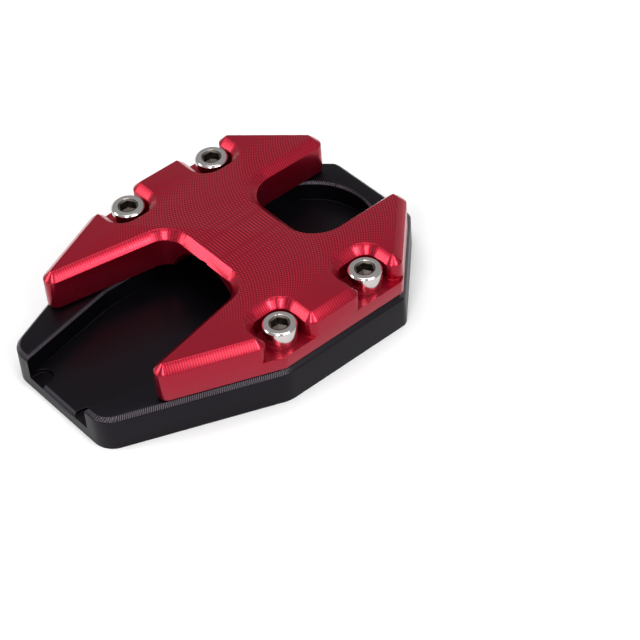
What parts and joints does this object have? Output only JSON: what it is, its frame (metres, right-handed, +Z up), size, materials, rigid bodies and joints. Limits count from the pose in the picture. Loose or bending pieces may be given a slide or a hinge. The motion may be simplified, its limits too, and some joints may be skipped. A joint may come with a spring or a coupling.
{
  "type": "motorcycle kickstand foot enlarger",
  "caption": "Side-stand foot enlarger: black aluminium base plate, red bridged clamp plate and socket cap screws.",
  "frame": {"origin": "bottom face, at the centre of the base plate's outline", "axes": "+X from the open mouth of the foot pocket to its closed round end, +Y across the plate, +Z up"},
  "size_m": [0.1008, 0.0712, 0.0206],
  "materials": {
    "black_anodised_aluminium": "satin",
    "red_anodised_aluminium": "satin",
    "stainless_steel": "polished"
  },
  "bodies": {
    "base": {"base_plate": "black_anodised_aluminium"},
    "clamp": {"clamp_plate": "red_anodised_aluminium"},
    "screw_near_open": {"screw_near_open": "stainless_steel"},
    "screw_near_closed": {"screw_near_closed": "stainless_steel"},
    "screw_far_open": {"screw_far_open": "stainless_steel"},
    "screw_far_closed": {"screw_far_closed": "stainless_steel"}
  },
  "joints": [
    {"name": "clamp_lift", "type": "slide", "parent": "base", "child": "clamp", "axis": [0, 0, 1], "range_m": [0, 0.02]},
    {"name": "near_open_unscrew", "type": "slide", "parent": "clamp", "child": "screw_near_open", "axis": [0, 0, 1], "range_m": [0, 0.014]},
    {"name": "near_closed_unscrew", "type": "slide", "parent": "clamp", "child": "screw_near_closed", "axis": [0, 0, 1], "range_m": [0, 0.014]},
    {"name": "far_open_unscrew", "type": "slide", "parent": "clamp", "child": "screw_far_open", "axis": [0, 0, 1], "range_m": [0, 0.014]},
    {"name": "far_closed_unscrew", "type": "slide", "parent": "clamp", "child": "screw_far_closed", "axis": [0, 0, 1], "range_m": [0, 0.014]}
  ]
}
